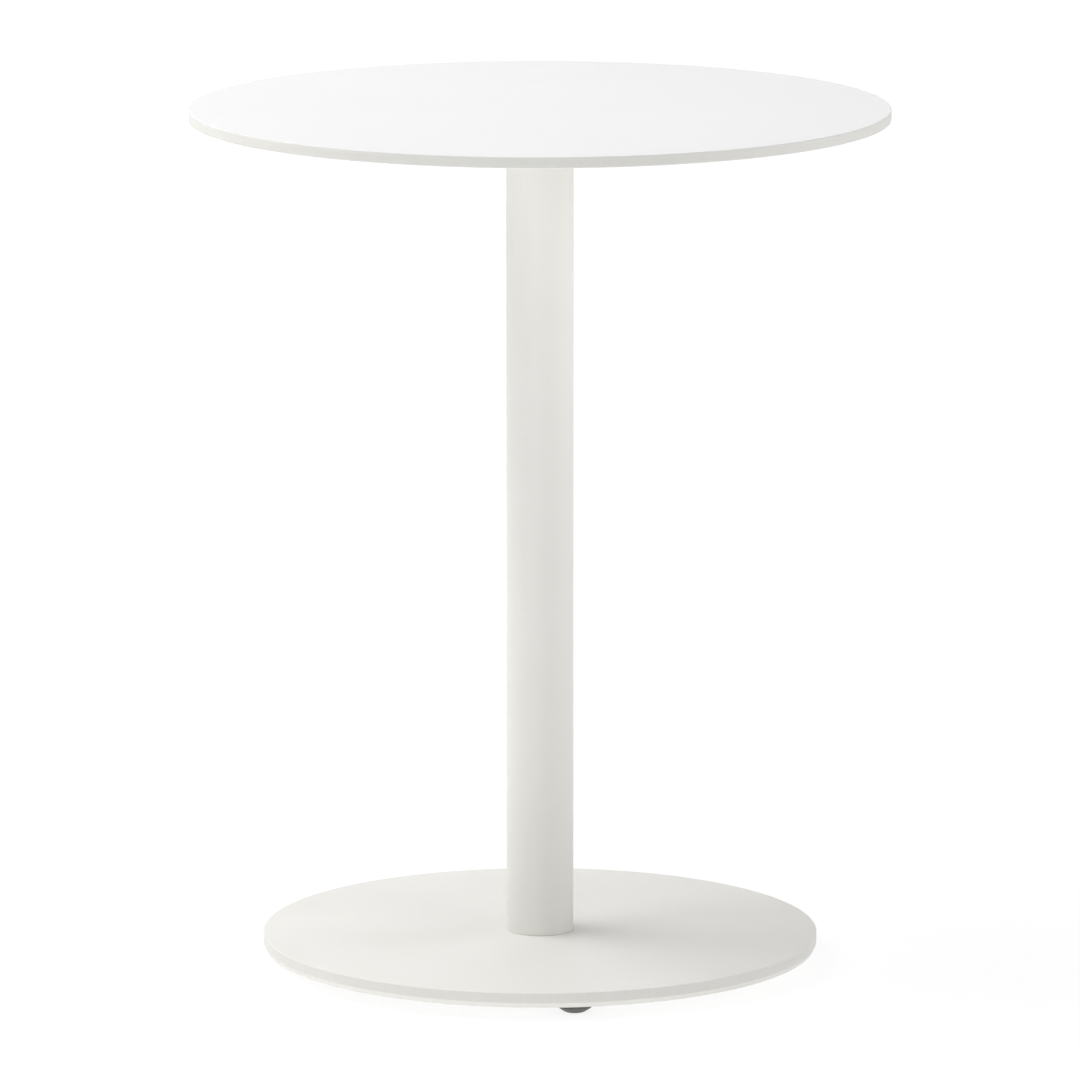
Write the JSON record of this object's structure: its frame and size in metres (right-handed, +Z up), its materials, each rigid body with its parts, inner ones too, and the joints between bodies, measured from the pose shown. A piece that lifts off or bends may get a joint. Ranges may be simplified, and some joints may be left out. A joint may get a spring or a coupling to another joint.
{
  "type": "round pedestal side table",
  "caption": "Small round pedestal table: thin flat round top on one tube column over a flat round base plate with screw-in levelling feet.",
  "frame": {"origin": "on the floor under the column's axis, with the levelling feet screwed fully home", "axes": "+Z up along the column, -Y towards the front as pictured, +X to the viewer's right"},
  "size_m": [0.4999, 0.5, 0.62],
  "materials": {
    "white_laminate": "fine matt white laminate",
    "powder_coat": "fine satin warm-white powder coat",
    "zinc_steel": "bright zinc plating",
    "bare_steel": "turned bare steel",
    "insert_brass": "turned brass",
    "foot_plastic": "satin charcoal moulded plastic"
  },
  "bodies": {
    "pedestal": {"tabletop": "white_laminate", "top_inserts": "insert_brass", "top_screws": "zinc_steel", "top_washers": "zinc_steel", "top_plate": "powder_coat", "top_weld_bead": "powder_coat", "column_tube": "powder_coat", "column_plug": "bare_steel", "plug_weld_bead": "bare_steel", "base_plate": "powder_coat", "base_screws": "zinc_steel"},
    "foot_pad_1": {"foot_pad_1": "foot_plastic"},
    "foot_stud_1": {"foot_stud_1": "zinc_steel"},
    "foot_pad_2": {"foot_pad_2": "foot_plastic"},
    "foot_stud_2": {"foot_stud_2": "zinc_steel"},
    "foot_pad_3": {"foot_pad_3": "foot_plastic"},
    "foot_stud_3": {"foot_stud_3": "zinc_steel"},
    "foot_pad_4": {"foot_pad_4": "foot_plastic"},
    "foot_stud_4": {"foot_stud_4": "zinc_steel"}
  },
  "joints": [
    {"name": "foot_1_height", "type": "slide", "parent": "pedestal", "child": "foot_pad_1", "axis": [0, 0, -1], "range_m": [0, 0.003]},
    {"name": "foot_1_turn", "type": "hinge", "parent": "foot_pad_1", "child": "foot_stud_1", "pos_m": [0.02454, -0.16822, 0.0135], "axis": [0, 0, -1], "range_deg": [0, 870]},
    {"name": "foot_2_height", "type": "slide", "parent": "pedestal", "child": "foot_pad_2", "axis": [0, 0, -1], "range_m": [0, 0.003]},
    {"name": "foot_2_turn", "type": "hinge", "parent": "foot_pad_2", "child": "foot_stud_2", "pos_m": [0.16822, 0.02454, 0.0135], "axis": [0, 0, -1], "range_deg": [0, 870]},
    {"name": "foot_3_height", "type": "slide", "parent": "pedestal", "child": "foot_pad_3", "axis": [0, 0, -1], "range_m": [0, 0.003]},
    {"name": "foot_3_turn", "type": "hinge", "parent": "foot_pad_3", "child": "foot_stud_3", "pos_m": [-0.02454, 0.16822, 0.0135], "axis": [0, 0, -1], "range_deg": [0, 870]},
    {"name": "foot_4_height", "type": "slide", "parent": "pedestal", "child": "foot_pad_4", "axis": [0, 0, -1], "range_m": [0, 0.003]},
    {"name": "foot_4_turn", "type": "hinge", "parent": "foot_pad_4", "child": "foot_stud_4", "pos_m": [-0.16822, -0.02454, 0.0135], "axis": [0, 0, -1], "range_deg": [0, 870]}
  ],
  "couplings": [
    {"joint": "foot_1_turn", "follows": "foot_1_height", "rad_per_m": 5026.5},
    {"joint": "foot_2_turn", "follows": "foot_2_height", "rad_per_m": 5026.5},
    {"joint": "foot_3_turn", "follows": "foot_3_height", "rad_per_m": 5026.5},
    {"joint": "foot_4_turn", "follows": "foot_4_height", "rad_per_m": 5026.5}
  ]
}
